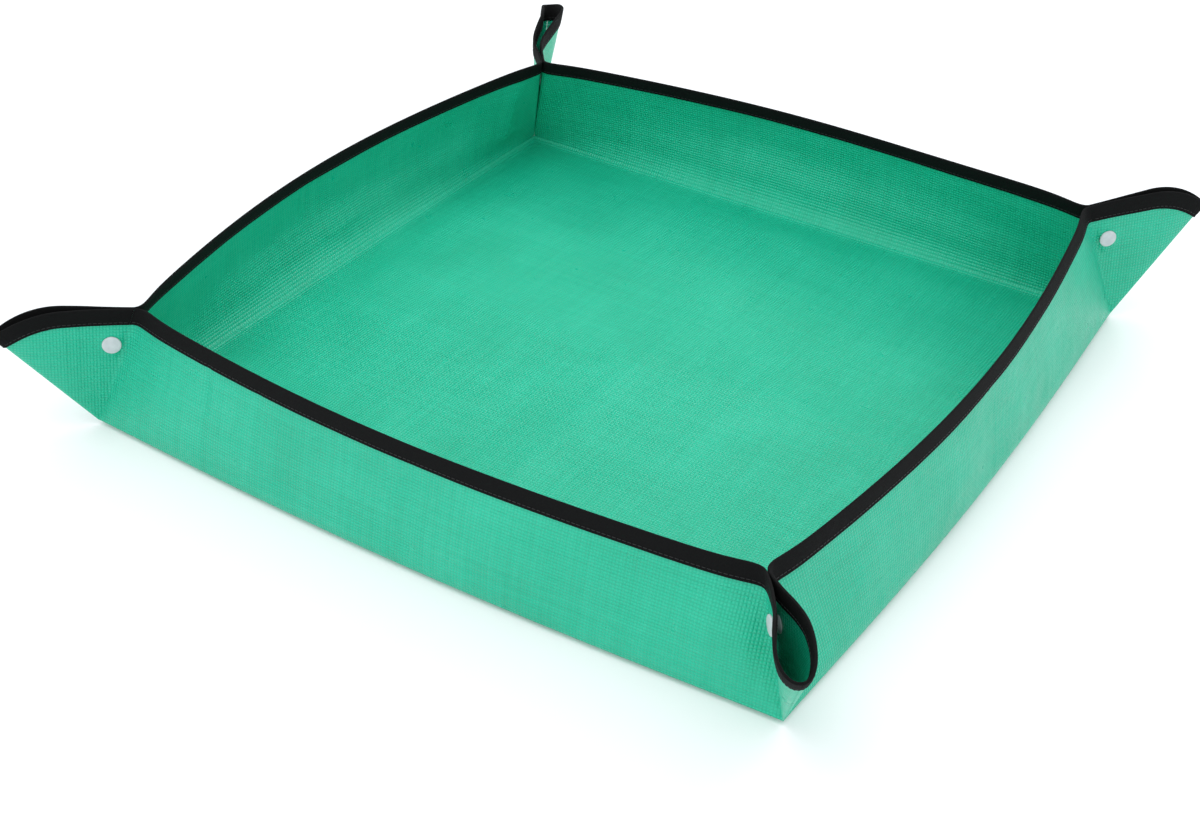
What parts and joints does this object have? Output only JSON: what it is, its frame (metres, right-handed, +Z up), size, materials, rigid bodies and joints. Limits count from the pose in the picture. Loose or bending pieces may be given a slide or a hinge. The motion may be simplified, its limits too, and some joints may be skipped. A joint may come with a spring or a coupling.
{
  "type": "potting soil tray",
  "caption": "Square folding mat of coated woven plastic with a taped rim; corner snaps pinch its edge up into a low-walled tray for potting and repotting.",
  "frame": {"origin": "centre of the base's underside, on the surface that the tray stands on", "axes": "+Z up out of the tray, front wall towards -Y, right wall towards +X"},
  "size_m": [0.5898, 0.609, 0.0905],
  "materials": {
    "sheet": "satin coated weave",
    "edge_tape": "woven matt",
    "thread": "twisted",
    "snap": "gloss"
  },
  "bodies": {
    "base": {"sheet_base": "sheet"},
    "wall_front": {"sheet_wall_front": "sheet", "tape_wall_front": "edge_tape", "seam_wall_front": "thread"},
    "wall_right": {"sheet_wall_right": "sheet", "tape_wall_right": "edge_tape", "seam_wall_right": "thread"},
    "wall_back": {"sheet_wall_back": "sheet", "tape_wall_back": "edge_tape", "seam_wall_back": "thread"},
    "wall_left": {"sheet_wall_left": "sheet", "tape_wall_left": "edge_tape", "seam_wall_left": "thread"},
    "ear_front_right_front": {"sheet_ear_front_right_front": "sheet", "tape_ear_front_right_front": "edge_tape", "seam_ear_front_right_front": "thread", "snap_cap_front_right_front": "snap", "snap_socket_front_right": "snap"},
    "ear_front_right_right": {"sheet_ear_front_right_right": "sheet", "tape_ear_front_right_right": "edge_tape", "seam_ear_front_right_right": "thread", "snap_cap_front_right_right": "snap", "snap_stud_front_right": "snap"},
    "ear_back_right_right": {"sheet_ear_back_right_right": "sheet", "tape_ear_back_right_right": "edge_tape", "seam_ear_back_right_right": "thread", "snap_cap_back_right_right": "snap", "snap_socket_back_right": "snap"},
    "ear_back_right_back": {"sheet_ear_back_right_back": "sheet", "tape_ear_back_right_back": "edge_tape", "seam_ear_back_right_back": "thread", "snap_cap_back_right_back": "snap", "snap_stud_back_right": "snap"},
    "ear_back_left_back": {"sheet_ear_back_left_back": "sheet", "tape_ear_back_left_back": "edge_tape", "seam_ear_back_left_back": "thread", "snap_cap_back_left_back": "snap", "snap_socket_back_left": "snap"},
    "ear_back_left_left": {"sheet_ear_back_left_left": "sheet", "tape_ear_back_left_left": "edge_tape", "seam_ear_back_left_left": "thread", "snap_cap_back_left_left": "snap", "snap_stud_back_left": "snap"},
    "ear_front_left_left": {"sheet_ear_front_left_left": "sheet", "tape_ear_front_left_left": "edge_tape", "seam_ear_front_left_left": "thread", "snap_cap_front_left_left": "snap", "snap_socket_front_left": "snap"},
    "ear_front_left_front": {"sheet_ear_front_left_front": "sheet", "tape_ear_front_left_front": "edge_tape", "seam_ear_front_left_front": "thread", "snap_cap_front_left_front": "snap", "snap_stud_front_left": "snap"}
  },
  "joints": [
    {"name": "wall_front_fold", "type": "hinge", "parent": "base", "child": "wall_front", "pos_m": [0, -0.256, 0.00342], "axis": [1, 0, 0], "range_deg": [0, 105.52]},
    {"name": "wall_right_fold", "type": "hinge", "parent": "base", "child": "wall_right", "pos_m": [0.256, 0, 0.00342], "axis": [0, 1, 0], "range_deg": [0, 105.52]},
    {"name": "wall_back_fold", "type": "hinge", "parent": "base", "child": "wall_back", "pos_m": [0, 0.256, 0.00342], "axis": [-1, 0, 0], "range_deg": [0, 105.52]},
    {"name": "wall_left_fold", "type": "hinge", "parent": "base", "child": "wall_left", "pos_m": [-0.256, 0, 0.00342], "axis": [0, -1, 0], "range_deg": [0, 105.52]},
    {"name": "ear_front_right_front_fold", "type": "hinge", "parent": "wall_front", "child": "ear_front_right_front", "pos_m": [0.25582, -0.25618, 0.00342], "axis": [-0.2697, 0.2576, 0.9278], "range_deg": [0, 46.79]},
    {"name": "ear_front_right_right_fold", "type": "hinge", "parent": "wall_right", "child": "ear_front_right_right", "pos_m": [0.25618, -0.25582, 0.00342], "axis": [0.2576, -0.2697, -0.9278], "range_deg": [0, 46.79]},
    {"name": "ear_back_right_right_fold", "type": "hinge", "parent": "wall_right", "child": "ear_back_right_right", "pos_m": [0.25618, 0.25582, 0.00342], "axis": [-0.2576, -0.2697, 0.9278], "range_deg": [0, 46.79]},
    {"name": "ear_back_right_back_fold", "type": "hinge", "parent": "wall_back", "child": "ear_back_right_back", "pos_m": [0.25582, 0.25618, 0.00342], "axis": [0.2697, 0.2576, -0.9278], "range_deg": [0, 46.79]},
    {"name": "ear_back_left_back_fold", "type": "hinge", "parent": "wall_back", "child": "ear_back_left_back", "pos_m": [-0.25582, 0.25618, 0.00342], "axis": [0.2697, -0.2576, 0.9278], "range_deg": [0, 46.79]},
    {"name": "ear_back_left_left_fold", "type": "hinge", "parent": "wall_left", "child": "ear_back_left_left", "pos_m": [-0.25618, 0.25582, 0.00342], "axis": [-0.2576, 0.2697, -0.9278], "range_deg": [0, 46.79]},
    {"name": "ear_front_left_left_fold", "type": "hinge", "parent": "wall_left", "child": "ear_front_left_left", "pos_m": [-0.25618, -0.25582, 0.00342], "axis": [0.2576, 0.2697, 0.9278], "range_deg": [0, 46.79]},
    {"name": "ear_front_left_front_fold", "type": "hinge", "parent": "wall_front", "child": "ear_front_left_front", "pos_m": [-0.25582, -0.25618, 0.00342], "axis": [-0.2697, -0.2576, -0.9278], "range_deg": [0, 46.79]}
  ],
  "couplings": [
    {"joint": "wall_right_fold", "follows": "wall_front_fold", "ratio": 1},
    {"joint": "wall_back_fold", "follows": "wall_front_fold", "ratio": 1},
    {"joint": "wall_left_fold", "follows": "wall_front_fold", "ratio": 1},
    {"joint": "ear_front_right_front_fold", "follows": "wall_front_fold", "ratio": 0.44326},
    {"joint": "ear_front_right_right_fold", "follows": "wall_front_fold", "ratio": 0.44326},
    {"joint": "ear_back_right_right_fold", "follows": "wall_front_fold", "ratio": 0.44326},
    {"joint": "ear_back_right_back_fold", "follows": "wall_front_fold", "ratio": 0.44326},
    {"joint": "ear_back_left_back_fold", "follows": "wall_front_fold", "ratio": 0.44326},
    {"joint": "ear_back_left_left_fold", "follows": "wall_front_fold", "ratio": 0.44326},
    {"joint": "ear_front_left_left_fold", "follows": "wall_front_fold", "ratio": 0.44326},
    {"joint": "ear_front_left_front_fold", "follows": "wall_front_fold", "ratio": 0.44326}
  ]
}
